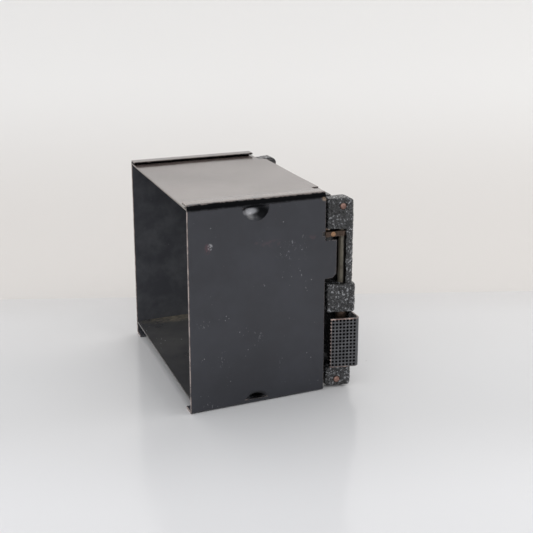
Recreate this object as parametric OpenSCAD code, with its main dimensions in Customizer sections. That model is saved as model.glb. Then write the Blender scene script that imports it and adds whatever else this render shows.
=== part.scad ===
// Sheet film holder: a sheet-metal sleeve, open from end to end, with guide lips along
// both side plates and a pair of sprung rocker latches on its coupling end.
// Lengths are in millimetres. X runs along the sleeve towards the latches, Y runs from
// the front side plate to the back one, and Z is up from the table.

/* [Sleeve] */
// Length of the side plates along the sleeve
side_len = 68.7; // [64:0.1:74]
// Width across the sleeve, over both side plates
sleeve_w = 104.7; // [95:0.1:120]
// Height over the guide lips
sleeve_h = 102; // [100:0.5:110]
// Thickness of the side plates
side_t = 1; // [0.8:0.1:1.2]
// Thickness of the top and floor plates
deck_t = 0.8; // [0.6:0.1:1]
// Width of the guide lips turned in along the side plates
lip_w = 7.5; // [6:0.5:9]
// Height of the floor plate's upper face
floor_z = 7.5; // [7.5:0.5:8.5]
// Gap between the upper guide lips and the top plate
lip_gap = 0.8; // [0.6:0.1:1]
// How far the top plate runs on past the side plates
top_overhang = 4.1; // [3:0.1:5]
// Width of the corners cut out of the top plate at the latches
top_notch_w = 17.4; // [14:0.1:20]

/* [Stops] */
// Distance from the open end to the middle of the pressed stops
stop_x = 33; // [28:0.5:40]
// Radius of the upper pressed stop's outline
upper_stop_r = 6.75; // [5:0.25:7.5]
// Distance from the top of the side plate to the upper stop's straight edge
upper_stop_drop = 3.9; // [3.5:0.1:6]
// Radius of the lower pressed stop's outline
lower_stop_r = 7.1; // [6:0.1:8]
// Height of the lower pressed stop above its straight edge
lower_stop_rise = 3.7; // [3:0.1:4]
// Height of the lower stop's straight edge
lower_stop_z = 2.4; // [2:0.1:2.8]
// Depth that the stops are pressed in
stop_depth = 1.9; // [1:0.1:2.5]

/* [Coupling frame] */
// Length of the frame's rib inside the sleeve
rib_len = 8.7; // [6:0.1:12]
// Thickness of the frame's side walls
wall_t = 1.5; // [1.2:0.1:2]
// Distance from the side plate's outer face to the frame's side wall
wall_y = 6.9; // [6.9:0.1:7.5]
// Reach of the frame's side walls past the side plates
wall_reach = 13.3; // [12:0.1:14]

/* [Latch bar] */
// Angle by which the latch bar's face flares outward
bar_flare = 14; // [8:1:16]
// Right-hand edge of the latch bar, from the open end
bar_right = 83.7; // [83.5:0.1:84.2]
// Height of the latch bar's lower end
bar_low = 1.3; // [0.5:0.1:2]
// Height of the latch bar's upper end
bar_high = 98.2; // [97:0.1:99]
// How much wider the grip block in the middle stands
block_proud = 1.3; // [0.8:0.1:1.6]

/* [Rocker latch] */
// Angle at which the thumb pad stands off at rest
pad_angle = 13; // [10:1:13]
// Height of the thumb pad
pad_h = 25.6; // [24:0.1:26]
// Flat width of the thumb pad's face
pad_flat = 12.3; // [11.5:0.1:12.3]
// Thickness of the thumb pad's sheet
pad_t = 1; // [0.8:0.1:1]
// Radius of the hinge rod
rod_r = 2; // [1.8:0.05:2]
// Radius of the latch pin's tip
tip_r = 0.7; // [0.6:0.05:0.75]

/* [Hidden] */

enamel = "#2e2f33";
crinkle = "#3b3c3e";
copper = "#9a7468";
bare_steel = "#5c534a";
brass = "#b07850";
pad_black = "#46474b";
spring_steel = "#77736c";

$fn = 64;
cut = 1;

// Sleeve, worked out from its driving sizes
top_face = sleeve_h - side_t - lip_gap;
top_under = top_face - deck_t;
bend_r = 1.4 * side_t;
tongue = [side_len, side_len + 6.1];
tongue_z = [58.5, 77.7];
tongue_bevel = 2;
relief_z = [80.3, 82.3];
relief_w = 1.4;

// Coupling frame
frame_in_y = wall_y + wall_t;
frame_low = floor_z;
frame_lip = 2.5;
frame_end = side_len + 5.7;
frame_top = 98.6;
wall_z = [2, 97.6];

// Latch bar: its plan starts beside the side plate and flares to the right
bar_left = side_len + 1.9;
bar_front = 1.5;
bar_corner = 2;
upper_window = [54.8, 82.7];
grip_block = [40.3, 54.8];
lower_window = [11.2, 40.3];
window_right = 79.6;
pad_well_right = 82.2;
pad_well_y = -0.4;
bar_skin_r = 3.3;
upper_rivet = [77.8, 94.1];
lower_rivet = [76.2, 4.5];
rivet_r = 0.9;
rivet_head_r = 1.55;
rivet_head_t = 1.2;

// Rocker: everything on the rod turns about this upright axis
rod_at = [79.5, 3.75];
rod_z = [1.8, 87.6];
rod_bore_r = rod_r + 0.06;
rod_bore_top = 88;
hub_r = rod_r + 0.95;
arm_z = [78.9, 81.5];
arm_left = side_len + 0.6;
arm_y = [1.2, 3.8];
pin_x = 73.4;
pin_z = (arm_z[0] + arm_z[1]) / 2;
pin_r = 0.95;
pin_head_r = 1.3;
pin_head_t = 0.5;
tip_len = 1.2;
slot_x = [71.1, 74.8];
slot_z = 1.25;

// Thumb pad: a flat face, a bend, and a side that turns back beside the bar
pad_start = [71.6, -1.4];
pad_low = 12;
pad_bend = 2.3;
pad_back_y = 4.9;
pad_dir = [cos(pad_angle), -sin(pad_angle)];
pad_in = [sin(pad_angle), cos(pad_angle)];
pad_turn = pad_start + pad_flat * pad_dir + pad_bend * pad_in;
dimple_cols = 7;
dimple_rows = 14;
dimple_pitch = 1.79;
dimple_from = [1.4, 1.25];
dimple_r = 0.4;
dimple_depth = 0.45;
ear_t = 1.2;
ear_z = [14, 35];
ear_from = 1.6;
ear_to = 8;
web_t = 0.8;
collar_gap = 0.1;

// Torsion spring round the rod, between the bracket's ears
spring_z = [17, 32.6];
spring_wire = 0.35;
spring_r = rod_r + 0.6;
spring_turns = 9;
spring_leg = 3.2;
spring_steps = 12;
wire_sides = 6;

overall_len = pad_turn[0] + pad_bend;

// Points of an arc from angle a to angle b, end points included
function arc(centre, r, a, b, n = 6) =
    [for (i = [0:n]) centre + r * [cos(a + (b - a) * i / n), sin(a + (b - a) * i / n)]];

// Outline of a rectangle with its own radius at each corner
function rounded(x, y, r) = concat(
    arc([x[0] + r[0], y[0] + r[0]], r[0], 180, 270),
    arc([x[1] - r[1], y[0] + r[1]], r[1], 270, 360),
    arc([x[1] - r[2], y[1] - r[2]], r[2], 0, 90),
    arc([x[0] + r[3], y[1] - r[3]], r[3], 90, 180)
);

// The front latch and side plate are drawn from the open end and the front face;
// the back ones are their mirror images.
module front_side() {
    translate([-overall_len / 2, -sleeve_w / 2, 0]) children();
}

module back_side() {
    mirror([0, 1, 0]) front_side() children();
}

// A block between two corners
module block(x, y, z) {
    translate([x[0], y[0], z[0]]) cube([x[1] - x[0], y[1] - y[0], z[1] - z[0]]);
}

// An outline in the X-Z plane, given depth along Y
module upright(y, outline) {
    translate([0, y[1], 0]) rotate([90, 0, 0]) linear_extrude(y[1] - y[0]) polygon(outline);
}

// An outline in the X-Y plane, given height
module level(z, outline) {
    translate([0, 0, z[0]]) linear_extrude(z[1] - z[0]) polygon(outline);
}

// A round bar along Z, and one along Y
module post(at, r, z) {
    translate([at[0], at[1], z[0]]) cylinder(h = z[1] - z[0], r = r);
}

module cross_bar(x, z, r, y) {
    translate([x, y[1], z]) rotate([90, 0, 0]) cylinder(h = y[1] - y[0], r = r);
}

// ---- Side plates ----

// Cross-section of a side plate: an upright with a lip turned in at each end
function lip_section() = concat(
    [[lip_w, 0], [lip_w, side_t]],
    [[bend_r, side_t], [side_t, bend_r]],
    [[side_t, sleeve_h - bend_r], [bend_r, sleeve_h - side_t]],
    [[lip_w, sleeve_h - side_t], [lip_w, sleeve_h]],
    arc([bend_r, sleeve_h - bend_r], bend_r, 90, 180),
    arc([bend_r, bend_r], bend_r, 180, 270)
);

// The tongue that covers the gap in front of the hinge rod
function tongue_outline() = [
    [tongue[0] - cut, tongue_z[0]],
    [tongue[1] - tongue_bevel, tongue_z[0]],
    [tongue[1], tongue_z[0] + tongue_bevel],
    [tongue[1], tongue_z[1]],
    [tongue[0] - cut, tongue_z[1]]
];

// Part of a ball whose cap, r wide, reaches depth into the plate
module cap(z, r, depth, skin) {
    ball_r = (r * r + depth * depth) / (2 * depth);
    translate([stop_x, depth - ball_r, z]) sphere(r = ball_r + skin, $fn = 96);
}

// Space above the lower stop's straight edge, or below the upper one's
module stop_space(z, from_y) {
    block([stop_x - 12, stop_x + 12], [from_y, 6], z);
}

module stops(skin, from_y) {
    upper_z = sleeve_h - upper_stop_drop;
    lower_centre = lower_stop_z + lower_stop_rise - lower_stop_r;
    intersection() {
        cap(upper_z, upper_stop_r, stop_depth, skin);
        stop_space([upper_z - 10, upper_z], from_y);
    }
    intersection() {
        cap(lower_centre, lower_stop_r, stop_depth, skin);
        stop_space([lower_stop_z, lower_stop_z + 6], from_y);
    }
}

module side_plate() {
    difference() {
        union() {
            rotate([90, 0, 90]) linear_extrude(side_len) polygon(lip_section());
            upright([0, side_t], tongue_outline());
            stops(side_t * 0.6, side_t / 2);
        }
        stops(0, -cut);
        block([side_len - relief_w, side_len + cut], [-cut, side_t + cut], relief_z);
    }
}

module front_side_plate() {
    color(enamel) front_side() side_plate();
}

module back_side_plate() {
    color(enamel) back_side() side_plate();
}

// ---- Top and floor plates ----

module top_plate() {
    over = [side_len + 0.4, side_len + top_overhang];
    color(enamel) front_side() union() {
        block([0, over[0]], [side_t, sleeve_w - side_t], [top_under, top_face]);
        block(over, [top_notch_w, sleeve_w - top_notch_w], [top_under, top_face]);
    }
}

module floor_plate() {
    color(enamel) front_side()
        block([0, side_len], [side_t, sleeve_w - side_t], [floor_z - deck_t, floor_z]);
}

// ---- Coupling frame: a rib inside the sleeve, with walls that carry the latches ----

module frame_wall() {
    wall_end = side_len + wall_reach;
    difference() {
        upright([wall_y, frame_in_y],
                rounded([side_len, wall_end], wall_z, [0.5, 3, 3, 0.5]));
        block(slot_x, [wall_y - cut, frame_in_y + cut], [pin_z - slot_z, pin_z + slot_z]);
        for (at = [upper_rivet, lower_rivet])
            cross_bar(at[0], at[1], rivet_r, [wall_y - cut, frame_in_y + cut]);
    }
}

module end_frame() {
    rib = [side_len - rib_len, side_len];
    color(crinkle) {
        front_side() difference() {
            union() {
                block(rib, [side_t, sleeve_w - side_t], [frame_low, top_under]);
                block([side_len - cut, frame_end], [wall_y, sleeve_w - wall_y],
                      [frame_low, frame_top]);
            }
            block([rib[0] - cut, frame_end + cut], [frame_in_y, sleeve_w - frame_in_y],
                  [frame_low + frame_lip, frame_top - frame_lip]);
            for (y = [wall_y, sleeve_w - frame_in_y])
                block(slot_x, [y - cut, y + wall_t + cut], [pin_z - slot_z, pin_z + slot_z]);
        }
        front_side() frame_wall();
        back_side() frame_wall();
    }
}

// ---- Latch bars ----

// Plan of a bar whose face flares outward, then rounds into its right-hand side
function bar_plan(proud, right) =
    let (slope = tan(bar_flare),
         turn_x = right - bar_corner - bar_corner * sin(bar_flare),
         turn_y = bar_front - proud - slope * (turn_x - bar_left),
         centre = [right - bar_corner, turn_y + bar_corner * cos(bar_flare)])
    concat(
        [[bar_left, bar_front - proud]],
        arc(centre, bar_corner, -90 - bar_flare, 0),
        [[right, wall_y], [bar_left, wall_y]]
    );

module latch_bar() {
    whole = rounded([bar_left, bar_right], [bar_low, bar_high], [0.6, 2.6, 3.5, 0.6]);
    grip = rounded([bar_left, bar_right + block_proud], grip_block, [1, 1, 1, 1]);
    difference() {
        union() {
            intersection() {
                level([0, sleeve_h], bar_plan(0, bar_right));
                upright([-10, wall_y], whole);
            }
            intersection() {
                level([0, sleeve_h], bar_plan(0.5, bar_right + block_proud));
                upright([-10, wall_y], grip);
            }
        }
        block([bar_left - cut, window_right], [-10, wall_y + cut], upper_window);
        block([bar_left - cut, pad_well_right], [-10, wall_y + cut], lower_window);
        block([bar_left - cut, bar_right + cut], [-10, pad_well_y], lower_window);
        post(rod_at, bar_skin_r, upper_window);
        post(rod_at, bar_skin_r, lower_window);
        post(rod_at, rod_bore_r, [bar_low - cut, rod_bore_top]);
        for (at = [upper_rivet, lower_rivet]) rivet_space(at);
    }
}

module front_latch_bar() {
    color(crinkle) front_side() latch_bar();
}

module back_latch_bar() {
    color(crinkle) back_side() latch_bar();
}

// ---- Rivets: a flush head in the bar, a shank, and a tail set over the frame's wall ----

function bar_face(x) = bar_front - tan(bar_flare) * (x - bar_left);

module rivet_space(at) {
    cross_bar(at[0], at[1], rivet_head_r, [-10, bar_face(at[0]) + rivet_head_t]);
    cross_bar(at[0], at[1], rivet_r, [-10, wall_y + cut]);
}

module rivets() {
    for (at = [upper_rivet, lower_rivet]) {
        head_y = bar_face(at[0]);
        cross_bar(at[0], at[1], rivet_head_r, [head_y - 0.4, head_y + rivet_head_t]);
        cross_bar(at[0], at[1], rivet_r, [head_y, frame_in_y]);
        cross_bar(at[0], at[1], 1.5, [frame_in_y, frame_in_y + 0.6]);
    }
}

module front_bar_rivets() {
    color(copper) front_side() rivets();
}

module back_bar_rivets() {
    color(copper) back_side() rivets();
}

// ---- Hinge rod and the collars that space the bracket on it ----

module front_latch_rod() {
    color(bare_steel) front_side() post(rod_at, rod_r, rod_z);
}

module back_latch_rod() {
    color(bare_steel) back_side() post(rod_at, rod_r, rod_z);
}

module collar(z) {
    difference() {
        post(rod_at, hub_r - 0.15, z);
        post(rod_at, rod_r, [z[0] - cut, z[1] + cut]);
    }
}

module collars() {
    collar([lower_window[0] + collar_gap, ear_z[0]]);
    collar([ear_z[1] + ear_t, lower_window[1] - collar_gap]);
}

module front_rod_collars() {
    color(brass) front_side() collars();
}

module back_rod_collars() {
    color(brass) back_side() collars();
}

// ---- Latch arm, and the pin that it carries through the frame's wall ----

module latch_arm() {
    difference() {
        union() {
            post(rod_at, hub_r, arm_z);
            block([arm_left, rod_at[0]], arm_y, arm_z);
        }
        post(rod_at, rod_r, [arm_z[0] - cut, arm_z[1] + cut]);
        cross_bar(pin_x, pin_z, pin_r, [arm_y[0] - cut, arm_y[1] + cut]);
    }
}

module latch_pin() {
    translate([pin_x, arm_y[0] - pin_head_t, pin_z]) rotate([-90, 0, 0]) rotate_extrude()
        polygon([
            [0, 0],
            [pin_head_r - 0.3, 0],
            [pin_head_r, 0.3],
            [pin_head_r, pin_head_t],
            [pin_r, pin_head_t],
            [pin_r, frame_in_y - arm_y[0] + pin_head_t],
            [tip_r, frame_in_y - arm_y[0] + pin_head_t],
            [tip_r, frame_in_y - arm_y[0] + pin_head_t + tip_len],
            [0, frame_in_y - arm_y[0] + pin_head_t + tip_len]
        ]);
}

module front_latch_arm() {
    color(bare_steel) front_side() latch_arm();
}

module back_latch_arm() {
    color(bare_steel) back_side() latch_arm();
}

module front_latch_pin() {
    color(brass) front_side() latch_pin();
}

module back_latch_pin() {
    color(brass) back_side() latch_pin();
}

// ---- Thumb pad ----

// Outer line of the pad's plan, set in by a distance
function pad_line(inset) = concat(
    [pad_start + inset * pad_in],
    arc(pad_turn, pad_bend - inset, -90 - pad_angle, 0),
    [[pad_turn[0] + pad_bend - inset, pad_back_y]]
);

// Reverse of a list of points
function reversed(points) = [for (i = [len(points) - 1:-1:0]) points[i]];

// A point on the pad's face, by distance along it and height above its lower edge
module on_pad(along, up) {
    at = pad_start + along * pad_dir;
    translate([at[0], at[1], pad_low + up]) rotate([0, 0, -pad_angle]) children();
}

module thumb_pad() {
    difference() {
        level([pad_low, pad_low + pad_h], concat(pad_line(0), reversed(pad_line(pad_t))));
        for (col = [0:dimple_cols - 1], row = [0:dimple_rows - 1])
            on_pad(dimple_from[0] + col * dimple_pitch, dimple_from[1] + row * dimple_pitch)
                rotate([-90, 0, 0]) translate([0, 0, -cut])
                    cylinder(h = cut + dimple_depth, r = dimple_r, $fn = 6);
    }
}

module front_thumb_pad() {
    color(pad_black) front_side() thumb_pad();
}

module back_thumb_pad() {
    color(pad_black) back_side() thumb_pad();
}

// ---- Bracket: a web behind the pad and two ears fixed to the rod ----

function pad_back(along, inset) = pad_start + along * pad_dir + (pad_t + inset) * pad_in;

module bracket() {
    web = [pad_back(ear_from, 0), pad_back(ear_to, 0),
           pad_back(ear_to, web_t), pad_back(ear_from, web_t)];
    ear = [pad_back(ear_from, 0), pad_back(ear_to, 0),
           [rod_at[0] + 2, rod_at[1] - 2], rod_at, [rod_at[0] - 2.6, rod_at[1]]];
    difference() {
        union() {
            level([ear_z[0], ear_z[1] + ear_t], web);
            for (z = ear_z) {
                level([z, z + ear_t], ear);
                post(rod_at, hub_r, [z, z + ear_t]);
            }
        }
        post(rod_at, rod_r, [0, sleeve_h]);
    }
}

module front_pad_bracket() {
    color(bare_steel) front_side() bracket();
}

module back_pad_bracket() {
    color(bare_steel) back_side() bracket();
}

// ---- Torsion spring ----

// Direction out from the rod at step i, and the way the wire runs there
function spring_out(i) =
    let (a = 360 * i / spring_steps + 200) [cos(a), sin(a), 0];
function spring_run(i) =
    let (a = 360 * i / spring_steps + 200) [-sin(a), cos(a), 0];

function spring_point(i) =
    let (n = spring_turns * spring_steps)
    [rod_at[0], rod_at[1], spring_z[0] + (spring_z[1] - spring_z[0]) * i / n]
        + spring_r * spring_out(i);

function wire_ring(centre, out) =
    [for (k = [0:wire_sides - 1])
        let (a = 360 * k / wire_sides)
        centre + spring_wire * (cos(a) * out + sin(a) * [0, 0, 1])];

module spring() {
    n = spring_turns * spring_steps;
    first = wire_ring(spring_point(0) - spring_leg * spring_run(0), spring_out(0));
    last = wire_ring(spring_point(n) + spring_leg * spring_run(n), spring_out(n));
    coil = [for (i = [0:n]) wire_ring(spring_point(i), spring_out(i))];
    rings = concat([first], coil, [last]);
    points = [for (ring = rings, p = ring) p];
    top = len(rings) - 1;
    sides = wire_sides;
    faces = concat(
        [[for (k = [0:sides - 1]) k]],
        [[for (k = [sides - 1:-1:0]) sides * top + k]],
        [for (i = [0:top - 1], k = [0:sides - 1])
            let (a = sides * i, b = a + sides, next = (k + 1) % sides)
            [a + k, b + k, b + next, a + next]]
    );
    polyhedron(points, faces, convexity = 10);
}

module front_latch_spring() {
    color(spring_steel) front_side() spring();
}

module back_latch_spring() {
    color(spring_steel) back_side() spring();
}

front_side_plate();
back_side_plate();
top_plate();
floor_plate();
end_frame();
front_latch_bar();
back_latch_bar();
front_bar_rivets();
back_bar_rivets();
front_latch_rod();
back_latch_rod();
front_rod_collars();
back_rod_collars();
front_latch_arm();
back_latch_arm();
front_latch_pin();
back_latch_pin();
front_thumb_pad();
back_thumb_pad();
front_pad_bracket();
back_pad_bracket();
front_latch_spring();
back_latch_spring();
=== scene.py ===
import math

import bmesh
import bpy
import numpy as np
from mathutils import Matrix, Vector


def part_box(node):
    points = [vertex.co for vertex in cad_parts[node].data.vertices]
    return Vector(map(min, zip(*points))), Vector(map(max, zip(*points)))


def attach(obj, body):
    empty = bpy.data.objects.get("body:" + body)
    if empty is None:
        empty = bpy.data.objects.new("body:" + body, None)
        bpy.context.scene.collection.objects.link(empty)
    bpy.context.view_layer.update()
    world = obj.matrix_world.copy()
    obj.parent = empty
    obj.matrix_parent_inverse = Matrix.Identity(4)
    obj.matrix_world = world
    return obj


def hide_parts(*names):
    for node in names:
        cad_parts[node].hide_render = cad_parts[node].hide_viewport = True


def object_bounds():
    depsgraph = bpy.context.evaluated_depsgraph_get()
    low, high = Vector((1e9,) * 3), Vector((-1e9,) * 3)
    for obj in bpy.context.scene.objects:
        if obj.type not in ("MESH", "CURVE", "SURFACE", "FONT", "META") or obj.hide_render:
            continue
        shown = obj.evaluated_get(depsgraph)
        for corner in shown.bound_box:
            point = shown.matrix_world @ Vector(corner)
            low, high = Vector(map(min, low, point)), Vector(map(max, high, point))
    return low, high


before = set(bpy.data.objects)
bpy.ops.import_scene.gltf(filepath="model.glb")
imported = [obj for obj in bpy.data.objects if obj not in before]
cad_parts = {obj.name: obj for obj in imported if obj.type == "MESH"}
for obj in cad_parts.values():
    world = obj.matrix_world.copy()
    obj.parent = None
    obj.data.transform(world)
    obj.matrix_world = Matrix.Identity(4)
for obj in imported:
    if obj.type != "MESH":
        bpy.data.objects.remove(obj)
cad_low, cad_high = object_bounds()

scene = bpy.context.scene
scene.view_settings.view_transform = "Standard"

MM = 0.001
SLEEVE_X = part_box("front_side_plate")[0].x
SLEEVE_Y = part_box("front_side_plate")[0].y
HEIGHT = cad_high.z / MM

# Side plates, in sleeve millimetres: X from the open end, Y from the front face, Z up
LIP = 7.5
BEND = 0.9
SHEET = 1.0
SIDE_LEN = 68.7
STOP_X = 33.0
LEAN_FROM, LEAN_R = 98.5, 10.0
LOWER_DEPTH = 2.185
UPPER_DEPTH = 1.25 * LOWER_DEPTH
UPPER_SLIT, UPPER_R = 98.1, 6.75
LOWER_SLIT, LOWER_R, LOWER_RISE = 2.4, 7.1, 3.7
TONGUE_X, TONGUE_Z, TONGUE_BEVEL = 74.8, (58.5, 77.7), 2.0
RELIEF_X, RELIEF_Z = 67.3, (80.3, 82.3)
INNER_FACE = -SLEEVE_Y - SHEET * MM

# ---- Camera ----

camera = bpy.data.objects.new("camera", bpy.data.cameras.new("camera"))
scene.collection.objects.link(camera)
camera.location = (SLEEVE_X - 0.1102, SLEEVE_Y - 0.3705, 0.2066)
camera.rotation_euler = (math.radians(90 - 13.45), 0, math.radians(-21.84))
camera.data.sensor_width = 36
camera.data.lens = 60.55
camera.data.shift_y = -0.165
camera.data.clip_start = 0.01
scene.camera = camera


# ---- Placing and making meshes ----

def placed(points, side):
    """Sleeve millimetres to metres in the row frame. The back half mirrors the front one in Y."""
    out = np.asarray(points, float) * MM + (SLEEVE_X, SLEEVE_Y, 0)
    if side == "back":
        out[..., 1] *= -1
    return out


def piece(name, points, faces, body, slot, finish, side="front", smooth=True):
    """A mesh from sleeve millimetres. A mirrored one has its faces turned round again."""
    if side == "back":
        faces = [tuple(reversed(f)) for f in faces]
    mesh = bpy.data.meshes.new(name)
    mesh.from_pydata(placed(points, side).tolist(), [], [tuple(map(int, f)) for f in faces])
    mesh.polygons.foreach_set("use_smooth", np.full(len(mesh.polygons), smooth))
    mesh.materials.append(finish)
    made = bpy.data.objects.new(name, mesh)
    scene.collection.objects.link(made)
    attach(made, body)
    return made


def quads(rows, cols, wrap_rows=False, wrap_cols=False):
    """Faces of a grid of points numbered row by row."""
    i = np.arange(rows if wrap_rows else rows - 1)[:, None]
    j = np.arange(cols if wrap_cols else cols - 1)[None, :]
    i2, j2 = (i + 1) % rows, (j + 1) % cols
    corners = np.stack(np.broadcast_arrays(i * cols + j, i2 * cols + j,
                                           i2 * cols + j2, i * cols + j2), -1)
    return corners.reshape(-1, 4)


def merged(made, distance=2e-6):
    """Joins doubled points, and turns the faces outwards."""
    work = bmesh.new()
    work.from_mesh(made.data)
    bmesh.ops.remove_doubles(work, verts=work.verts, dist=distance)
    bmesh.ops.recalc_face_normals(work, faces=work.faces)
    work.to_mesh(made.data)
    work.free()
    return made


def bevelled(made, width, angle=40, segments=2):
    edge = made.modifiers.new("rounded edges", "BEVEL")
    edge.width = width * MM
    edge.segments = segments
    edge.limit_method = "ANGLE"
    edge.angle_limit = math.radians(angle)
    edge.harden_normals = True
    return made


def waves(points, wavelength, count, seed):
    """Sum of cosines with directions spread over the ball and lengths near one wavelength, about 1 high."""
    draw = np.random.default_rng(seed)
    turn = draw.normal(size=(count, 3))
    turn /= np.linalg.norm(turn, axis=1)[:, None]
    turn *= 2 * np.pi / (wavelength * draw.uniform(0.75, 1.35, count))[:, None]
    phase = draw.uniform(0, 2 * np.pi, count)
    return np.cos(points @ turn.T + phase).sum(1) * math.sqrt(2 / count)


# ---- Finishes ----

class Finish:
    """A material in the making. add() puts in a node and fills its inputs by name or by number."""

    def __init__(self, name):
        self.material = bpy.data.materials.new(name)
        self.material.use_nodes = True
        self.tree = self.material.node_tree
        self.tree.nodes.clear()
        self.where = self.add("TexCoord").outputs["Object"]

    def add(self, kind, inputs=(), **settings):
        made = self.tree.nodes.new("ShaderNode" + kind)
        for key, value in settings.items():
            setattr(made, key, value)
        for key, value in dict(inputs).items():
            if isinstance(value, bpy.types.NodeSocket):
                self.tree.links.new(value, made.inputs[key])
            else:
                made.inputs[key].default_value = value
        return made

    def coordinate(self, axis):
        """The distance in metres along axis 0, 1 or 2 of the row frame."""
        return self.add("SeparateXYZ", {0: self.where}).outputs[axis]

    def stretched(self, scale, turn=(0, 0, 0)):
        return self.add("Mapping", {"Vector": self.where, "Scale": scale,
                                    "Rotation": turn}).outputs[0]

    def noise(self, scale, detail=3, rough=0.55, where=None):
        return self.add("TexNoise", {"Vector": where or self.where, "Scale": scale,
                                     "Detail": detail, "Roughness": rough}).outputs["Fac"]

    def cells(self, scale, feature="F1", where=None):
        made = self.add("TexVoronoi", {"Vector": where or self.where, "Scale": scale},
                        feature=feature)
        return made.outputs["Distance"]

    def span(self, value, low, high, to_low=0.0, to_high=1.0, kind="SMOOTHSTEP"):
        return self.add("MapRange", {"Value": value, "From Min": low, "From Max": high,
                                     "To Min": to_low, "To Max": to_high},
                        interpolation_type=kind).outputs[0]

    def sums(self, operation, first, second=0.0, clamp=False):
        return self.add("Math", {0: first, 1: second}, operation=operation,
                        use_clamp=clamp).outputs[0]

    def mixed(self, share, first, second):
        made = self.add("Mix", {"Factor": share}, data_type="RGBA")
        for number, value in ((6, first), (7, second)):
            if isinstance(value, bpy.types.NodeSocket):
                self.tree.links.new(value, made.inputs[number])
            else:
                made.inputs[number].default_value = (*value, 1)
        return made.outputs[2]

    def edges(self, radius, full=0.10):
        """1 on sharp edges and 0 on flats, from how far a rounded normal turns off the true one."""
        soft = self.add("Bevel", {"Radius": radius * MM}, samples=4).outputs[0]
        true = self.add("NewGeometry").outputs["Normal"]
        along = self.add("VectorMath", {0: soft, 1: true}, operation="DOT_PRODUCT").outputs["Value"]
        return self.span(along, 1 - 0.12 * full, 1 - full, 0.0, 1.0)

    def at(self, spot, size):
        """1 at a spot given in sleeve millimetres, falling to 0 at a size's distance along each axis."""
        centre = placed([spot], "front")[0]
        off = self.add("VectorMath", {0: self.where, 1: tuple(centre)},
                       operation="SUBTRACT").outputs[0]
        unit = self.add("VectorMath", {0: off, 1: tuple(1 / (s * MM) for s in size)},
                        operation="MULTIPLY").outputs[0]
        length = self.add("VectorMath", {0: unit}, operation="LENGTH").outputs["Value"]
        return self.span(length, 1.0, 0.35)

    def bump(self, height, depth, strength=1.0, under=None):
        inputs = {"Height": height, "Distance": depth * MM, "Strength": strength}
        if under is not None:
            inputs["Normal"] = under
        return self.add("Bump", inputs).outputs[0]

    def done(self, color, rough, normal=None, metal=0.0, **constants):
        inputs = {"Roughness": rough, "Metallic": metal}
        if normal is not None:
            inputs["Normal"] = normal
        if isinstance(color, bpy.types.NodeSocket):
            inputs["Base Color"] = color
        else:
            inputs["Base Color"] = (*color, 1)
        inputs.update({k.replace("_", " "): v for k, v in constants.items()})
        shader = self.add("BsdfPrincipled", inputs)
        out = self.add("OutputMaterial", {"Surface": shader.outputs[0]})
        out.location = (300, 0)
        return self.material


WORN = (0.30, 0.245, 0.225)
WORN_DARK = (0.16, 0.125, 0.115)
# Near-black for the painted shade and painted dark reflection on the side plates
PAINTED_DARK = (0.0035, 0.0037, 0.0045)
# Near-black for the painted shade on the hinge rod's far side
PAINTED_SHADE_SIDE = (0.012, 0.011, 0.010)
# How far in from the open end the paint is worn off, and the heights of the dark band (painted dark
# reflection) and lip line
EDGE_WORN = (0.0001, 0.00045)
BAND_FROM, BAND_FULL = 0.0984, 0.0998
LIP_FROM, LIP_FULL = 0.1014, 0.1018
# Where flecks and reddish blushes lie on the front plate, in sleeve millimetres, and their sizes
FLECKS = (((48.5, 0, 76.0), (6.5, 6, 7.5)), ((57.5, 0, 76.5), (3.0, 6, 8)),
          ((55.6, 0, 63.5), (1.6, 6, 4)), ((7.0, 0, 44.5), (4.2, 6, 3.5)),
          ((26.5, 0, 37.5), (4, 6, 4)), ((34, 0, 34.5), (3, 6, 6)),
          ((16, 0, 26), (3, 6, 6)), ((11, 0, 3), (6, 6, 2)))
BLUSHES = (((35, 0, 79.5), (6, 6, 2.5)), ((42, 0, 80), (5, 6, 2.5)), ((62, 0, 80.5), (2.6, 6, 2)))


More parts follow.
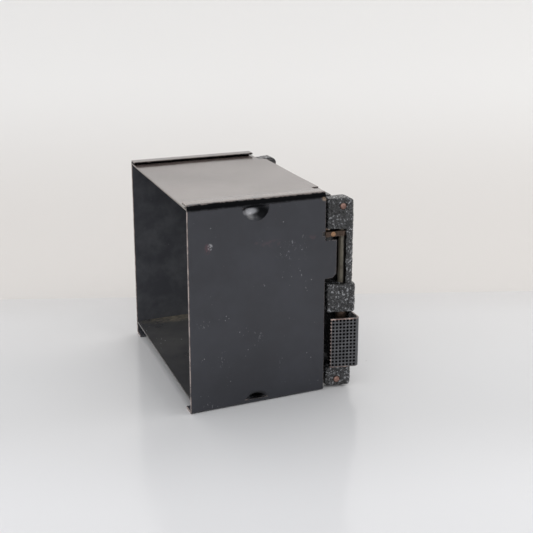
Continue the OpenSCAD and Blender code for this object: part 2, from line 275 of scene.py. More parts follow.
def enamel(name, low, high, gloss, gloss_spread, worn=True, marks=False, warm=False, stain=False,
           bend=1.56, tint=(1, 1, 1)):
    """Black enamel on sheet metal: soft cloudy tone and gloss, orange peel, fine scuffs, light specks,
    and edges worn through to the metal. marks adds what lies at set places on the side plates: paler
    inside faces, scrapes, flecks, worn lines, a dark band under the top bend that is painted dark
    reflection, and painted highlight and painted shade on the front stops. warm adds brown smears, stain a
    brown stain at the back."""
    f = Finish(name)
    cloud = f.noise(28, 4, 0.6)
    streak = f.noise(34, 4, 0.6)
    color = f.mixed(f.span(cloud, 0.35, 0.7), low, high)
    fine = f.noise(2600, 2, 0.7)
    dust_where = f.span(f.noise(95, 2, 0.6), 0.54, 0.7)
    specks = f.sums("MULTIPLY", f.span(f.cells(420), 0.17, 0.06), dust_where, True)
    color = f.mixed(f.sums("MULTIPLY", specks, 0.45), color, (0.30, 0.31, 0.33))
    metal = 0.0
    if marks:
        # The inside faces get a paler, cloudy colour than the outside faces
        off_middle = f.sums("ABSOLUTE", f.coordinate(1))
        inner = f.span(off_middle, INNER_FACE + 0.0005, INNER_FACE + 0.0001)
        paler_inside = f.mixed(f.span(f.noise(60, 4, 0.65), 0.35, 0.7), (0.058, 0.060, 0.068),
                        (0.090, 0.092, 0.100))
        color = f.mixed(inner, color, paler_inside)
        grain = f.span(f.noise(900, 3, 0.7), 0.42, 0.56)
        scraped = f.sums("MULTIPLY", f.at((10.7, 0, 81.5), (1.5, 6, 2.0)), grain)
        rim = f.sums("MULTIPLY", f.at((9.3, 0, 80.6), (2.2, 6, 3.2)), f.span(f.noise(500), 0.4, 0.62))
        color = f.mixed(f.sums("MULTIPLY", rim, 0.55), color, (0.10, 0.035, 0.045))
        color = f.mixed(f.sums("MULTIPLY", scraped, 0.9), color, (0.40, 0.40, 0.42))
        flecks = 0.0
        for spot, size in FLECKS:
            patch = f.sums("MULTIPLY", f.at(spot, size),
                           f.span(f.noise(1150, 3, 0.75, f.stretched((1, 1, 0.4))), 0.60, 0.70))
            flecks = f.sums("ADD", flecks, patch, True)
        color = f.mixed(f.sums("MULTIPLY", flecks, 0.6), color, (0.36, 0.37, 0.40))
        for spot, size in BLUSHES:
            blush = f.sums("MULTIPLY", f.at(spot, size), f.span(f.noise(330), 0.45, 0.7))
            color = f.mixed(f.sums("MULTIPLY", blush, 0.4), color, (0.085, 0.04, 0.05))
        # Painted dark reflection: a near-black band just under the top bend, stopped below the lip line
        height = f.coordinate(2)
        ragged = f.sums("MULTIPLY", f.sums("SUBTRACT", f.noise(480, 4, 0.7), 0.5), 1.4 * MM)
        level = f.sums("ADD", height, ragged)
        band = f.span(level, BAND_FROM, BAND_FULL)
        lip_line = f.span(level, LIP_FROM, LIP_FULL)
        band = f.sums("MULTIPLY", band, f.sums("SUBTRACT", 1.0, lip_line), True)
        color = f.mixed(f.sums("MULTIPLY", band, 0.92), color, PAINTED_DARK)
    if warm:
        smear = f.span(f.noise(34, 5, 0.65, f.stretched((1.6, 0.7, 1), (0, 0, 0.4))), 0.45, 0.72)
        color = f.mixed(f.sums("MULTIPLY", smear, 0.5), color, (0.075, 0.060, 0.050))
    if stain:
        rust = f.sums("MULTIPLY", f.at((24, 101, 8), (26, 8, 6)), f.span(f.noise(70, 4, 0.7), 0.40, 0.62))
        color = f.mixed(f.sums("MULTIPLY", rust, 0.8), color, (0.23, 0.20, 0.145))
    rough = f.span(streak, 0.3, 0.75, gloss - gloss_spread, gloss + gloss_spread, "LINEAR")
    rough = f.sums("ADD", rough, f.sums("MULTIPLY", specks, 0.3), True)
    if worn:
        broken = f.span(f.noise(520, 4, 0.7), 0.36, 0.52)
        rub = f.sums("MULTIPLY", f.edges(0.38), broken, True)
        color = f.mixed(rub, color, f.mixed(f.span(f.noise(300), 0.4, 0.6), WORN, WORN_DARK))
        rough = f.sums("MAXIMUM", rough, f.sums("MULTIPLY", rub, 0.42))
        metal = f.sums("MULTIPLY", rub, 0.55)
    if marks:
        front_edge = f.span(f.coordinate(0), SLEEVE_X + EDGE_WORN[1], SLEEVE_X + EDGE_WORN[0])
        chips = f.span(f.noise(640, 4, 0.75, f.stretched((1, 1, 0.6))), 0.36, 0.46)
        line = f.sums("MULTIPLY", front_edge, chips, True)
        bared = f.mixed(f.span(f.noise(300), 0.4, 0.6), (0.38, 0.31, 0.285), (0.18, 0.14, 0.13))
        color = f.mixed(line, color, bared)
        corner = f.sums("MULTIPLY", f.at((68.4, 0.5, 99.6), (2.6, 4, 2.6)),
                        f.span(f.noise(620, 4, 0.7), 0.42, 0.52), True)
        color = f.mixed(corner, color, (0.50, 0.36, 0.24))
        patchy = f.span(f.noise(480, 4, 0.7, f.stretched((0.35, 1, 1))), 0.34, 0.52)
        top_rub = f.sums("MULTIPLY", lip_line, patchy, True)
        color = f.mixed(f.sums("MULTIPLY", top_rub, 0.6), color, (0.22, 0.17, 0.145))
        # Painted light on the front stops: a pale painted highlight on the upper stop, and painted shade in
        # both stops. The painted shade and the dark band are near-black and mostly metallic, so they
        # reflect little.
        glint = f.sums("MULTIPLY", f.at((31.0, 0, 95.9), (5.2, 9, 2.0)), 0.85)
        shade = f.sums("MAXIMUM", f.at((STOP_X, 0, 98.2), (9.5, 9, 2.2)),
                       f.at((36.4, 0, 95.2), (6.0, 9, 5.4)))
        slit_middle = tuple(placed([(STOP_X, 0, UPPER_SLIT)], "front")[0])
        from_slit = f.add("VectorMath", {0: f.where, 1: slit_middle}, operation="DISTANCE")
        inside = f.span(from_slit.outputs["Value"], 7.0 * MM, 6.4 * MM)
        shade = f.sums("MULTIPLY", shade, inside)
        glint = f.sums("MULTIPLY", glint, inside)
        color = f.mixed(glint, color, (0.42, 0.42, 0.44))
        rough = f.sums("ADD", rough, f.sums("MULTIPLY", glint, 0.12), True)
        shade = f.sums("SUBTRACT", shade, f.sums("MULTIPLY", glint, 1.4), True)
        low_stop_shade = f.sums("MULTIPLY", f.at((34.0, 0, 4.3), (7.2, 9, 3.0)),
                          f.at((STOP_X, 0, LOWER_SLIT), (7.6, 9, 4.6)))
        painted_dark_mask = f.sums("MAXIMUM", f.sums("MAXIMUM", band, low_stop_shade), shade, True)
        color = f.mixed(painted_dark_mask, color, PAINTED_DARK)
        metal = f.sums("MAXIMUM", metal, f.sums("MULTIPLY", painted_dark_mask, 0.93))
        metal = f.sums("MAXIMUM", metal, f.sums("MULTIPLY", glint, 0.8))
    peel = f.bump(f.noise(520, 2, 0.5), 0.012, 0.6)
    dents = f.bump(f.noise(42, 2, 0.5), 0.03, 0.5, peel)
    normal = f.bump(fine, 0.004, 0.5, dents)
    return f.done(color, rough, normal, metal, IOR=bend, Specular_Tint=(*tint, 1))


def crinkled(name):
    """Crinkle paint: small knobs and creases with glossy tops on dark paint, and paler specks painted in as
    glints.
    """
    f = Finish(name)
    warp = f.add("TexNoise", {"Vector": f.where, "Scale": 700, "Detail": 2})
    bent = f.add("VectorMath", {0: f.where, 1: f.add(
        "VectorMath", {0: warp.outputs["Color"], 3: 0.0009}, operation="SCALE").outputs[0]},
        operation="ADD").outputs[0]
    knobs = f.cells(1250, "SMOOTH_F1", bent)
    creases = f.cells(1500, "DISTANCE_TO_EDGE", bent)
    tops = f.span(creases, 0.04, 0.3)
    tone = f.mixed(f.span(f.noise(260, 3, 0.6), 0.35, 0.7), (0.006, 0.0062, 0.007), (0.020, 0.0205, 0.023))
    # The paler specks are painted glints, standing in for highlights on the knobs
    wear_and_painted_glints = f.sums("MULTIPLY", f.span(f.noise(950, 2, 0.6, bent), 0.54, 0.64),
                    f.span(f.noise(260, 3, 0.6), 0.32, 0.52))
    tone = f.mixed(f.sums("MULTIPLY", wear_and_painted_glints, 0.9), tone, (0.37, 0.375, 0.39))
    bare = f.sums("MULTIPLY", f.edges(0.5, 0.16), f.span(f.noise(420, 4, 0.7), 0.52, 0.64), True)
    tone = f.mixed(f.sums("MULTIPLY", bare, 0.5), tone, (0.19, 0.15, 0.13))
    relief = f.bump(tops, 0.22, 1.0)
    relief = f.bump(f.span(knobs, 0.0, 0.6, 1.0, 0.0, "LINEAR"), 0.26, 1.0, relief)
    rough = f.span(f.noise(800, 2, 0.6), 0.3, 0.7, 0.16, 0.34, "LINEAR")
    return f.done(tone, rough, relief, 0.0, IOR=1.7)


def bare_metal(name, low, high, rough, streaks=(1, 1, 1), stain=(0.05, 0.035, 0.022), stained=0.5,
               metal=1.0, far_side=None):
    """Old bare metal: drawn streaks, cloudy tarnish and small dark stains. With far_side, a place
    along X past which the metal is painted nearly black, as painted shade on its far side."""
    f = Finish(name)
    drawn = f.noise(900, 3, 0.65, f.stretched(streaks))
    cloud = f.noise(210, 4, 0.65)
    color = f.mixed(f.span(drawn, 0.3, 0.7), low, high)
    color = f.mixed(f.sums("MULTIPLY", f.span(cloud, 0.45, 0.68), stained), color, stain)
    # Painted shade: past far_side the colour goes nearly black, for the shaded far side
    if far_side is not None:
        wander = f.sums("MULTIPLY", f.noise(300), 0.8 * MM)
        along = f.sums("ADD", f.coordinate(0), wander)
        color = f.mixed(f.span(along, far_side - 0.2 * MM, far_side + 0.6 * MM), color, PAINTED_SHADE_SIDE)
    shine = f.span(cloud, 0.3, 0.7, rough - 0.08, rough + 0.14, "LINEAR")
    normal = f.bump(drawn, 0.012, 0.6)
    return f.done(color, shine, normal, metal)


def pad_finish():
    """Satin enamel on the thumb pad with painted shade down in the pits, worn to copper along its outline.
    The mesh carries how deep a point lies in a pit, and how near the outline it is."""
    f = Finish("pad_enamel")
    pit = f.add("Attribute", attribute_name="pit").outputs["Fac"]
    rim = f.add("Attribute", attribute_name="rim").outputs["Fac"]
    tone = f.mixed(f.span(f.noise(240, 3, 0.6), 0.35, 0.7), (0.062, 0.063, 0.068), (0.098, 0.099, 0.105))
    wear_and_painted_glints = f.sums("MULTIPLY", rim, f.span(f.noise(650, 4, 0.7), 0.34, 0.52), True)
    copper = f.mixed(f.span(f.noise(380), 0.4, 0.62), (0.58, 0.44, 0.39), (0.24, 0.16, 0.14))
    tone = f.mixed(wear_and_painted_glints, tone, copper)
    # Painted shade in the pits: near-black colour, and below mostly metallic so they reflect little
    tone = f.mixed(f.span(pit, 0.18, 0.5), tone, (0.0015, 0.0015, 0.002))
    rough = f.span(f.noise(500), 0.3, 0.7, 0.34, 0.52, "LINEAR")
    normal = f.bump(f.noise(1800, 2, 0.6), 0.012, 0.7)
    pit_painted_shade = f.span(pit, 0.18, 0.5)
    metal = f.sums("MAXIMUM", f.sums("MULTIPLY", wear_and_painted_glints, 0.6), f.sums("MULTIPLY", pit_painted_shade, 0.95))
    return f.done(tone, rough, normal, metal, IOR=1.5)


side_enamel = enamel("side_enamel", (0.0160, 0.0172, 0.0235), (0.0240, 0.0258, 0.0345), 0.15, 0.05,
                     marks=True)
# The top sheet's enamel has a lighter, warm colour: its own black enamel plus a painted reflection of the
# backdrop
deck_enamel_and_painted_reflection = enamel("deck_enamel_and_painted_reflection", (0.085, 0.066, 0.061), (0.115, 0.091, 0.084), 0.17, 0.05, warm=True,
                     bend=1.78, tint=(1, 0.955, 0.935))
floor_enamel = enamel("floor_enamel", (0.050, 0.050, 0.052), (0.082, 0.080, 0.079), 0.24, 0.06,
                      stain=True)
frame_enamel = enamel("frame_enamel", (0.012, 0.012, 0.013), (0.020, 0.020, 0.021), 0.26, 0.06)
crinkle = crinkled("crinkle_paint")
copper = bare_metal("copper", (0.27, 0.155, 0.125), (0.42, 0.265, 0.225), 0.42, stained=0.6,
                    stain=(0.12, 0.06, 0.045), metal=0.75)
brass = bare_metal("brass", (0.30, 0.165, 0.09), (0.50, 0.30, 0.18), 0.38, stained=0.7,
                   stain=(0.12, 0.06, 0.03), metal=0.8)
browned = bare_metal("browned_steel", (0.05, 0.035, 0.026), (0.13, 0.09, 0.07), 0.42,
                     streaks=(1, 1, 3), metal=0.8)
# The hinge rod's half past its axis is painted nearly black as painted shade
rod_steel = bare_metal("rod_steel", (0.115, 0.10, 0.075), (0.21, 0.19, 0.15), 0.5, streaks=(3, 3, 0.12),
                       stained=0.5, stain=(0.04, 0.034, 0.024), metal=0.25,
                       far_side=(SLEEVE_X + 79.5 * MM))
wire = bare_metal("spring_wire", (0.22, 0.20, 0.18), (0.40, 0.38, 0.35), 0.3, stained=0.4)
pad_enamel = pad_finish()


# ---- Side plates ----

def steps(*stops):
    """Positions from stop to stop; each stop but the first comes with its largest step."""
    out = [np.array([stops[0]])]
    at = stops[0]
    for to, step in stops[1:]:
        n = max(1, math.ceil((to - at) / step - 1e-9))
        out.append(at + (to - at) * np.arange(1, n + 1) / n)
        at = to
    return np.concatenate(out)


def stop_press(x, z, pressed_up, pressed_down):
    """Depth of the pressed stops: a dome whose depth falls as the square of the distance from its
    centre over its radius, rounded off at the rim, cut straight along the slit."""
    def dome(centre_z, radius):
        far = np.hypot(x - STOP_X, z - centre_z) / radius
        inside = np.clip(1 - far ** 2, 0, None)
        return inside * (1 - np.exp(-7 * inside))
    lower_centre = LOWER_SLIT + LOWER_RISE - LOWER_R
    return (UPPER_DEPTH * dome(UPPER_SLIT, UPPER_R) * pressed_down
            + LOWER_DEPTH * dome(lower_centre, LOWER_R) * pressed_up)


def side_sheet(side):
    """Middle surface of a side plate: its section (lip, bend, upright, bend, lip) carried along X.
    Near the top it leans in by the square of the height past LEAN_FROM over twice LEAN_R.
    The row at each slit is there twice, so that the pressed side of it can part from the other."""
    half = SHEET / 2
    turn = np.radians(np.linspace(270, 180, 7))
    inner = half + BEND
    low_y = np.r_[LIP - 0.3, 4.5, inner, inner + BEND * np.cos(turn[1:])]
    low_z = np.r_[half, half, half, inner + BEND * np.sin(turn[1:])]
    low_y[0] = LIP
    rise = steps(inner, (LOWER_SLIT, 0.5), (LOWER_SLIT + LOWER_RISE + 0.6, 0.35), (TONGUE_Z[0], 3),
                 (TONGUE_Z[0] + TONGUE_BEVEL, 2), (TONGUE_Z[1], 4), (RELIEF_Z[0], 2.6),
                 (RELIEF_Z[1], 2), (90.8, 3), (UPPER_SLIT, 0.35), (HEIGHT - inner, 0.6))[1:]
    slit_rows = [int(np.argmin(abs(rise - s))) for s in (LOWER_SLIT, UPPER_SLIT)]
    up_z = np.insert(rise, [slit_rows[0], slit_rows[1]], [LOWER_SLIT, UPPER_SLIT])
    above_low = np.arange(len(up_z)) > slit_rows[0]
    below_high = np.arange(len(up_z)) <= slit_rows[1] + 1
    y = np.r_[low_y, np.full(len(up_z) - 1, half), low_y[::-1]]
    z = np.r_[low_z, up_z[:-1], HEIGHT - low_z[::-1]]
    first = len(low_z)
    pad = lambda flags: np.r_[np.zeros(first), flags[:-1], np.zeros(first)]
    x = steps(0, (STOP_X - 8, 2.5), (STOP_X + 8, 0.35), (RELIEF_X, 3), (SIDE_LEN, 2),
              (TONGUE_X - TONGUE_BEVEL, 6), (TONGUE_X, 2))
    gx, gz = np.meshgrid(x, z, indexing="ij")
    flat_y = np.broadcast_to(y, gx.shape)
    lean = np.clip(gz - LEAN_FROM, 0, None) ** 2 / (2 * LEAN_R) * (flat_y <= half + BEND)
    gy = flat_y + lean + stop_press(gx, gz, pad(above_low), pad(below_high))
    mid_x = (gx[1:, 1:] + gx[:-1, :-1]) / 2
    mid_z = (gz[1:, 1:] + gz[:-1, :-1]) / 2
    upright = (flat_y[1:, 1:] <= half + 1e-6) & (flat_y[:-1, :-1] <= half + 1e-6)
    tall = abs(gz[1:, 1:] - gz[:-1, :-1]) > 1e-6
    tall |= ~upright
    tongue = (mid_z > TONGUE_Z[0]) & (mid_z < TONGUE_Z[1]) & upright
    relief = (mid_x > RELIEF_X) & (mid_z > RELIEF_Z[0]) & (mid_z < RELIEF_Z[1]) & upright
    keep = ((mid_x < SIDE_LEN) | tongue) & ~relief & tall
    faces = quads(*gx.shape)[keep.ravel()]
    points = np.stack([gx, gy, gz], -1).reshape(-1, 3)
    corner = int(np.argmin(np.hypot(points[:, 0] - TONGUE_X, points[:, 2] - TONGUE_Z[0])
                           + 9 * (points[:, 1] > half + 1e-6)))
    cut_faces = [tuple(v for v in f if v != corner) for f in faces.tolist()]
    made = piece(side + "_side_sheet", points, cut_faces, "holder", "black_enamel",
                 side_enamel, side)
    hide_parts(side + "_side_plate")
    merged(made)
    wall = made.modifiers.new("sheet", "SOLIDIFY")
    wall.thickness = SHEET * MM
    wall.offset = 0
    wall.use_even_offset = True
    bevelled(made, 0.13, 50)
    return made


# ---- Top and floor plates ----

def deck(name, node, z, x, wide, beyond=None):
    """A sheet between two side plates, a little wavy: its height is a sum of long low waves.
    Past the side plates it may run on with its two corners cut away."""
    xs = steps(0.01, (x, 2.2))
    if beyond:
        xs = np.r_[xs, beyond[0]]
        ys = steps(wide[0], (beyond[1], 2.2), (sum(wide) - beyond[1], 2.2), (wide[1], 2.2))
    else:
        ys = steps(wide[0], (wide[1], 2.2))
    gx, gy = np.meshgrid(xs, ys, indexing="ij")
    flat = np.stack([gx, gy, np.zeros_like(gx)], -1).reshape(-1, 3)
    rest = np.minimum(1, np.minimum(flat[:, 1] - wide[0], wide[1] - flat[:, 1]) / 9)
    flat[:, 2] = z - 0.4 + 0.045 * waves(flat, 46, 9, 5) * rest
    faces = quads(*gx.shape)
    if beyond:
        mid = flat[faces].mean(1)
        past = (mid[:, 0] > x) & ((mid[:, 1] < beyond[1]) | (mid[:, 1] > sum(wide) - beyond[1]))
        faces = faces[~past]
    made = piece(name, flat, faces, "holder", "black_enamel", deck_enamel_and_painted_reflection if beyond else floor_enamel)
    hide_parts(node)
    merged(made)
    wall = made.modifiers.new("sheet", "SOLIDIFY")
    wall.thickness = 0.8 * MM
    wall.offset = 0
    return bevelled(made, 0.14, 50)


# ---- Pieces that keep their CAD shape, with rounded edges or a crinkled skin ----

def copied(node, name):
    """A CAD node's own mesh, with its doubles merged and its flats made whole."""
    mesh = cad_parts[node].data.copy()
    mesh.materials.clear()
    made = bpy.data.objects.new(name, mesh)
    scene.collection.objects.link(made)
    work = bmesh.new()
    work.from_mesh(mesh)
    bmesh.ops.remove_doubles(work, verts=work.verts, dist=2e-6)
    bmesh.ops.dissolve_limit(work, angle_limit=math.radians(1.0), verts=work.verts, edges=work.edges)
    for face in work.faces:
        face.smooth = True
    work.to_mesh(mesh)
    work.free()
    return made


def eased(node, name, body, finish, width):
    """A CAD node's own shape with its edges rounded, in millimetres of width."""
    made = copied(node, name)
    made.data.materials.append(finish)
    bevelled(made, width, 32)
    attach(made, body)
    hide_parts(node)
    return made


def crinkled_bar(side):
    """The latch bar remade in small even cells, its skin moved in and out by short waves. The
    folded wave, 1 less its size, gives round knobs between sharp creases. The bore is left plain."""
    node = side + "_latch_bar"
    source = copied(node, side + "_bar_source")
    cells = source.modifiers.new("cells", "REMESH")
    cells.mode = "VOXEL"
    cells.voxel_size = 0.33 * MM
    shaped = source.evaluated_get(bpy.context.evaluated_depsgraph_get())
    mesh = bpy.data.meshes.new_from_object(shaped)
    bpy.data.objects.remove(source)
    mesh.name = side + "_crinkled_bar"
    count = len(mesh.vertices)
    spots, normals = np.zeros(count * 3), np.zeros(count * 3)
    mesh.vertices.foreach_get("co", spots)
    mesh.vertices.foreach_get("normal", normals)
    spots, normals = spots.reshape(-1, 3), normals.reshape(-1, 3)
    rod_low, rod_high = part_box(side + "_latch_rod")
    axis = np.array(((rod_low + rod_high) / 2)[:2])
    from_rod = np.linalg.norm(spots[:, :2] - axis, axis=1) / MM
    plain = np.clip((from_rod - 2.5) / 0.5, 0, 1)
    relief = 0.6 * (1 - abs(waves(spots / MM, 1.35, 48, 11))) + 0.4 * waves(spots / MM, 2.8, 24, 12)
    move = (np.clip(relief, -1, 1) - 1) * 0.15 * plain
    spots = spots + normals * (move * MM)[:, None]
    mesh.vertices.foreach_set("co", spots.ravel())
    mesh.polygons.foreach_set("use_smooth", np.ones(len(mesh.polygons), bool))
    mesh.materials.clear()
    mesh.materials.append(crinkle)
    made = bpy.data.objects.new(side + "_crinkled_bar", mesh)
    scene.collection.objects.link(made)
    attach(made, "holder")
    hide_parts(node)
    return made


# ---- Turned pieces ----

def turned(profile, at, around=40, along="y"):
    """A profile of (radius, distance) points carried round an axis; both ends close on the axis."""
    profile = np.asarray(profile, float)
    angle = np.linspace(0, 2 * np.pi, around, endpoint=False)
    ring = np.stack([profile[:, :1] * np.cos(angle), profile[:, :1] * np.sin(angle),
                     np.repeat(profile[:, 1:], around, 1)], -1)
    if along == "y":
        ring = ring[..., [0, 2, 1]]
    points = ring.reshape(-1, 3) + np.asarray(at, float)
    faces = quads(len(profile), around, wrap_cols=True).tolist()
    last = (len(profile) - 1) * around
    faces += [tuple(range(around)), tuple(range(last + around - 1, last - 1, -1))]
    return points, faces


def joined(parts):
    """Several lists of points and faces made into one."""
    points, faces, start = [], [], 0
    for part_points, part_faces in parts:
        points.append(part_points)
        faces += [tuple(int(v) + start for v in f) for f in part_faces]
        start += len(part_points)
    return np.concatenate(points), faces


# ---- Thumb pad ----

PAD_START = np.array([71.6, -1.4])
PAD_ANGLE = math.radians(13)
PAD_FLAT, PAD_BEND, PAD_BACK_Y = 12.3, 2.3, 4.9
PAD_Z = (12.0, 37.6)
PAD_T = 1.0
PITCH = 1.79
PIT_FROM = (1.4, 1.25)
PIT_R, PIT_DEPTH = 0.56, 0.66
PAD_ROUND = 0.34
CHORD_GAP = 0.008


def pad_plan(s, inset):
    """Point and outward normal on the pad's plan at distance s along its outer line, set in by inset."""
    ahead = np.array([math.cos(PAD_ANGLE), -math.sin(PAD_ANGLE)])
    inward = np.array([math.sin(PAD_ANGLE), math.cos(PAD_ANGLE)])
    centre = PAD_START + PAD_FLAT * ahead + PAD_BEND * inward
    sweep = PAD_BEND * (math.pi / 2 + PAD_ANGLE)
    angle = -math.pi / 2 - PAD_ANGLE + np.clip(s - PAD_FLAT, 0, sweep) / PAD_BEND
    out = np.stack([np.cos(angle), np.sin(angle)], -1)
    on_flat = PAD_START + np.minimum(s, PAD_FLAT)[:, None] * ahead - PAD_FLAT * ahead
    past = np.clip(s - PAD_FLAT - sweep, 0, None)[:, None] * np.array([0.0, 1.0])
    point = np.where((s < PAD_FLAT)[:, None], on_flat + PAD_FLAT * ahead,
                     centre + PAD_BEND * out + past)
    return point - out * np.asarray(inset)[:, None], out


def thumb_pad(side):
    """Outer skin: the plan line carried up Z on a fine grid. Its edge is a quarter round, and each
    pit lowers it by a smooth step of the distance from the pit's centre, with one more half column
    of pits cut through the edge beside the sleeve. The inner skin is the same grid a sheet in."""
    sweep = PAD_BEND * (math.pi / 2 + PAD_ANGLE)
    centre_y = (PAD_START + PAD_FLAT * np.array([math.cos(PAD_ANGLE), -math.sin(PAD_ANGLE)])
                + PAD_BEND * np.array([math.sin(PAD_ANGLE), math.cos(PAD_ANGLE)]))[1]
    total = PAD_FLAT + sweep + PAD_BACK_Y - centre_y
    s = steps(0, (PAD_FLAT + 1.2, 0.125), (total - 0.5, 0.35), (total, 0.1))
    z = steps(PAD_Z[0], (PAD_Z[1], 0.13))
    gs, gz = np.meshgrid(s, z, indexing="ij")
    gs, gz = gs.ravel(), gz.ravel()
    edge = np.minimum.reduce([gs, total - gs, gz - PAD_Z[0], PAD_Z[1] - gz])
    short = np.clip(PAD_ROUND - edge, 0, None)
    inset = PAD_ROUND - np.sqrt(np.clip(PAD_ROUND ** 2 - short ** 2, 0, None))
    col = np.clip(np.round((gs - PIT_FROM[0]) / PITCH), -1, 6)
    row = np.clip(np.round((gz - PAD_Z[0] - PIT_FROM[1]) / PITCH), 0, 13)
    far = np.hypot(gs - PIT_FROM[0] - col * PITCH - 0.25 * (col < 0),
                   gz - PAD_Z[0] - PIT_FROM[1] - row * PITCH)
    depth = 1 / (1 + np.exp((far - PIT_R) / 0.05))
    inset = np.minimum(inset + CHORD_GAP + PIT_DEPTH * depth, PAD_T * 0.8)
    plan, _ = pad_plan(gs, inset)
    back, _ = pad_plan(gs, np.full(len(gs), PAD_T))
    outer = np.column_stack([plan, gz])
    inner = np.column_stack([back, gz])
    count, cols, rows = len(gs), len(z), len(s)
    face = quads(rows, cols)
    faces = face.tolist() + (face[:, ::-1] + count).tolist()
    border = np.r_[np.arange(cols), np.arange(1, rows) * cols + cols - 1,
                   (rows - 1) * cols + np.arange(cols - 2, -1, -1), np.arange(rows - 2, -1, -1) * cols]
    a, b = border[:-1], border[1:]
    faces += np.stack([b, a, a + count, b + count], 1).tolist()
    made = piece(side + "_pitted_pad", np.concatenate([outer, inner]), faces,
                 side + "_latch", "pad_enamel", pad_enamel, side)
    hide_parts(side + "_thumb_pad")
    rub = np.clip((0.62 - edge) / 0.3, 0, 1) * (0.25 + 0.75 * (gs < 9) + 0.75 * (gz > PAD_Z[1] - 1))
    for name, values in (("pit", np.r_[depth, np.zeros(count)]),
                         ("rim", np.r_[np.clip(rub, 0, 1), np.zeros(count)])):
        layer = made.data.attributes.new(name, "FLOAT", "POINT")
        layer.data.foreach_set("value", values)
    return made


# ---- Springs ----

def coil(side):
    """A wire round the rod: its middle line climbs evenly over the turns, then leaves straight at
    each end; the wire's own circle is carried along that line."""
    rod_low, rod_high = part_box("front_latch_rod")
    axis = (np.array(((rod_low + rod_high) / 2)[:2]) - (SLEEVE_X, SLEEVE_Y)) / MM
    turns, radius, wire_r, leg = 9, 2.6, 0.35, 3.0
    z = (17.0, 32.6)
    angle = np.radians(200) + np.linspace(0, 2 * np.pi * turns, turns * 40 + 1)
    out = np.stack([np.cos(angle), np.sin(angle), 0 * angle], 1)
    run = np.stack([-np.sin(angle), np.cos(angle), 0 * angle], 1)
    line = np.column_stack([axis + radius * out[:, :2], np.linspace(*z, len(angle))])
    before = line[0] - run[0] * np.linspace(leg, 0.6, 4)[:, None]
    after = line[-1] + run[-1] * np.linspace(0.6, leg, 4)[:, None]
    line = np.concatenate([before, line, after])
    out = np.concatenate([np.repeat(out[:1], 4, 0), out, np.repeat(out[-1:], 4, 0)])
    around = np.linspace(0, 2 * np.pi, 10, endpoint=False)
    ring = (line[:, None] + wire_r * (np.cos(around)[None, :, None] * out[:, None]
                                      + np.sin(around)[None, :, None] * np.array([0, 0, 1.0])))
    faces = quads(len(line), 10, wrap_cols=True).tolist()
    last = (len(line) - 1) * 10
    faces += [tuple(range(10)), tuple(range(last + 9, last - 1, -1))]
    made = piece(side + "_spring_wire", ring.reshape(-1, 3), faces, "holder", "spring_steel", wire, side)
    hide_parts(side + "_latch_spring")
    return merged(made)


# ---- Putting the holder together ----

deck("top_sheet", "top_plate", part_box("top_plate")[1].z / MM, 69.1, (1.0, 103.7), (72.8, 17.4))
deck("floor_sheet", "floor_plate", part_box("floor_plate")[1].z / MM, SIDE_LEN, (1.0, 103.7))
eased("end_frame", "coupling_frame", "holder", frame_enamel, 0.3)

RIVETS = (("upper", 77.8, 94.1), ("lower", 76.2, 4.5))
BAR_LEFT, BAR_FRONT, FLARE = 70.6, 1.5, math.tan(math.radians(14))
FRAME_IN_Y = 8.4
PIN = (73.4, 80.2)

for side in ("front", "back"):
    latch = side + "_latch"
    side_sheet(side)
    crinkled_bar(side)
    parts = []
    for _, x, z in RIVETS:
        face_y = BAR_FRONT - FLARE * (x - BAR_LEFT) - 0.12
        head = [(0.02, face_y - 0.42), (0.5, face_y - 0.40), (0.95, face_y - 0.32), (1.3, face_y - 0.16),
                (1.5, face_y + 0.06), (1.55, face_y + 0.3), (1.5, face_y + 1.2), (0.9, face_y + 1.25),
                (0.9, FRAME_IN_Y), (1.4, FRAME_IN_Y + 0.02), (1.5, FRAME_IN_Y + 0.2),
                (1.35, FRAME_IN_Y + 0.45), (0.9, FRAME_IN_Y + 0.58), (0.02, FRAME_IN_Y + 0.6)]
        parts.append(turned(head, (x, 0, z)))
    rivets = piece(side + "_rivet_heads", *joined(parts), "holder", "copper", copper, side)
    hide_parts(side + "_bar_rivets")
    merged(rivets)
    pin_from = 0.7
    pin = [(0.02, pin_from), (0.6, pin_from + 0.03), (1.0, pin_from + 0.12), (1.22, pin_from + 0.26),
           (1.3, pin_from + 0.42), (1.25, pin_from + 0.5), (0.95, pin_from + 0.52), (0.95, FRAME_IN_Y),
           (0.7, FRAME_IN_Y + 0.05), (0.7, FRAME_IN_Y + 1.05), (0.6, FRAME_IN_Y + 1.18),
           (0.02, FRAME_IN_Y + 1.2)]
    made = piece(side + "_brass_pin", *turned(pin, (PIN[0], 0, PIN[1])), latch, "brass", brass, side)
    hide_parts(side + "_latch_pin")
    merged(made)
    thumb_pad(side)
    coil(side)
    eased(side + "_latch_rod", side + "_hinge_rod", latch, rod_steel, 0.3)
    eased(side + "_rod_collars", side + "_collars", latch, browned, 0.15)
    eased(side + "_latch_arm", side + "_arm", latch, browned, 0.18)
    eased(side + "_pad_bracket", side + "_bracket", latch, browned, 0.15)


# ---- Stage ----

def stage_mesh(name, points, rows, cols, finish):
    mesh = bpy.data.meshes.new(name)
    mesh.from_pydata(points.tolist(), [], quads(rows, cols).tolist())
    mesh.polygons.foreach_set("use_smooth", np.ones(len(mesh.polygons), bool))
    mesh.materials.append(finish)
    made = bpy.data.objects.new(name, mesh)
    scene.collection.objects.link(made)
    return made


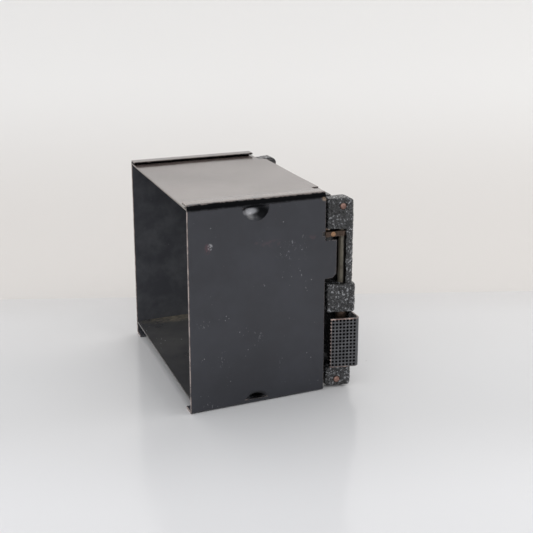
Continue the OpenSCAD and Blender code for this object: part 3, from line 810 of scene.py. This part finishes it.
def board_finish():
    """Glossy white board with a little dust. Its tone changes in bands of painted reflection and shade by
    distance from its back edge.
    """
    f = Finish("white_board")
    color = f.mixed(f.span(f.noise(3, 2), 0.35, 0.65), (0.785, 0.785, 0.80), (0.81, 0.81, 0.82))
    toward = (edge_back[0], edge_back[1], 0.0)
    apart = f.add("VectorMath", {0: f.where, 1: toward}, operation="DOT_PRODUCT").outputs["Value"]
    behind = f.sums("SUBTRACT", apart, float(edge_from @ edge_back))
    # Painted reflection and shade: lighter and darker bands across the board by distance from its back edge
    color = f.mixed(f.span(behind, -0.235, -0.15), color, (0.69, 0.69, 0.695))
    color = f.mixed(f.span(behind, -0.12, -0.05), color, (0.72, 0.715, 0.715))
    color = f.mixed(f.span(behind, -0.045, 0.0), color, (0.67, 0.66, 0.655))
    dust = f.sums("MULTIPLY", f.span(f.cells(70), 0.05, 0.02), f.span(f.noise(20), 0.55, 0.65), True)
    color = f.mixed(f.sums("MULTIPLY", dust, 0.35), color, (0.45, 0.43, 0.42))
    rough = f.span(f.noise(9, 3), 0.3, 0.7, 0.12, 0.19, "LINEAR")
    return f.done(color, rough, f.bump(f.noise(14, 2), 0.1, 0.15), IOR=1.3)


def paper_finish():
    """Matt backdrop paper, with painted shade making it darker near the board."""
    f = Finish("backdrop_paper")
    height = f.coordinate(2)
    # Painted shade: the paper is darker near the board
    tone = f.mixed(f.span(height, 0.0, 0.11, kind="SMOOTHSTEP"), (0.70, 0.675, 0.65), (0.83, 0.82, 0.805))
    grain = f.mixed(f.sums("MULTIPLY", f.noise(8, 3), 0.06), tone, (0.7, 0.68, 0.67))
    return f.done(grain, 0.9, f.bump(f.noise(600, 3), 0.05, 0.3))


edge_from = np.array((SLEEVE_X - 0.067, SLEEVE_Y + 0.188))
edge_run = np.array((0.323, -0.113)) / math.hypot(0.323, 0.113)
edge_back = np.array((-edge_run[1], edge_run[0]))


def across(distances, back, heights):
    """Points of a surface made of straight lines along the board's back edge."""
    base = (edge_from + np.asarray(back)[:, None, None] * edge_back
            + np.asarray(distances)[None, :, None] * edge_run)
    rise = np.broadcast_to(np.asarray(heights, float)[:, None], base.shape[:2])
    return np.concatenate([base, rise[..., None]], -1).reshape(-1, 3)


side_steps = np.linspace(-2.2, 2.4, 24)
board_steps = np.linspace(-2.4, 0, 14)
stage_mesh("board", across(side_steps, board_steps, np.zeros(14)), 14, 24, board_finish())
sweep_angle = np.radians(np.linspace(0, 90, 14))
sweep_back = np.r_[-0.02, 0.02, 0.05 + 0.30 * np.sin(sweep_angle), 0.35]
sweep_rise = np.r_[-0.004, -0.003, 0.30 * (1 - np.cos(sweep_angle)) - 0.002, 1.5]
stage_mesh("backdrop", across(side_steps, sweep_back, sweep_rise), len(sweep_back), 24, paper_finish())


# ---- Light ----

def softbox(name, azimuth, elevation, distance, size, power, color, target=(0, 0, 0.05)):
    """A square lamp that faces the holder from an azimuth measured from +X towards +Y."""
    lamp = bpy.data.objects.new(name, bpy.data.lights.new(name, "AREA"))
    lamp.data.shape = "RECTANGLE"
    lamp.data.size, lamp.data.size_y = size
    lamp.data.energy = power
    lamp.data.color = color
    a, e = math.radians(azimuth), math.radians(elevation)
    aim = Vector((math.cos(a) * math.cos(e), math.sin(a) * math.cos(e), math.sin(e)))
    lamp.location = Vector(target) + aim * distance
    lamp.rotation_euler = aim.to_track_quat("Z", "Y").to_euler()
    scene.collection.objects.link(lamp)
    return lamp


softbox("lamp_right", -29, 33, 1.1, (0.7, 0.55), 1.3, (1, 0.985, 0.96))
softbox("lamp_left", 176, 33, 1.1, (0.7, 0.55), 0.95, (0.97, 0.985, 1))
softbox("lamp_front", -112, 48, 1.2, (1.2, 0.8), 1.8, (1, 0.99, 0.985))
softbox("lamp_far", 68, 24, 0.42, (1.5, 0.30), 0.95, (1, 0.965, 0.93), (0, 0, 0.12))

world = bpy.data.worlds.new("room")
world.use_nodes = True
world.node_tree.nodes["Background"].inputs["Color"].default_value = (0.97, 0.98, 1, 1)
world.node_tree.nodes["Background"].inputs["Strength"].default_value = 0.80
scene.world = world
